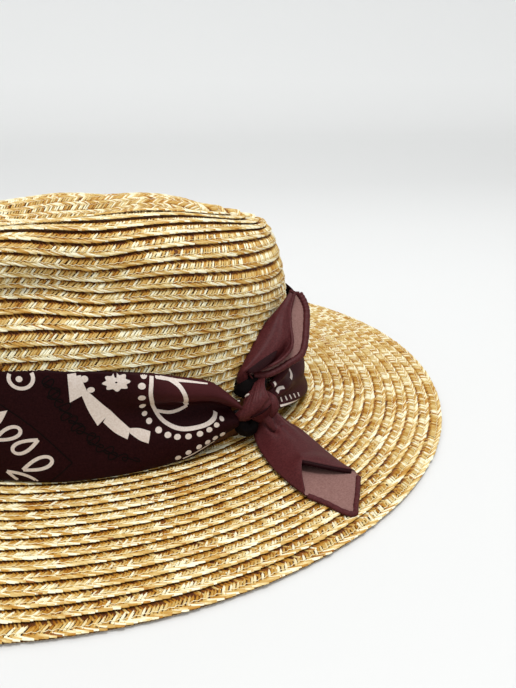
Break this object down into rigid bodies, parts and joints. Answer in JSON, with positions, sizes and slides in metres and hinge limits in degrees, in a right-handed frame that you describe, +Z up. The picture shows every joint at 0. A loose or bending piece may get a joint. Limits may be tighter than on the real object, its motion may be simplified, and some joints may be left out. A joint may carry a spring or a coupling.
{
  "type": "straw fedora with scarf band",
  "caption": "Wide-brimmed straw fedora with a teardrop dent in its crown and a folded bandana scarf knotted round it.",
  "frame": {"origin": "middle of the brim's outline, on the plane the brim rests on", "axes": "+X runs along the head's long way towards the knot's end, +Y across the head, +Z up through the crown"},
  "size_m": [0.362, 0.3232, 0.1037],
  "materials": {
    "straw": "matt two-tone paper straw braid",
    "scarf": "soft satin cotton, printed on one side"
  },
  "bodies": {
    "root": {"straw_crown": "straw", "straw_brim": "straw", "scarf_band": "scarf", "scarf_knot": "scarf", "scarf_tail_upper": "scarf", "scarf_tail_lower": "scarf"}
  },
  "joints": []
}
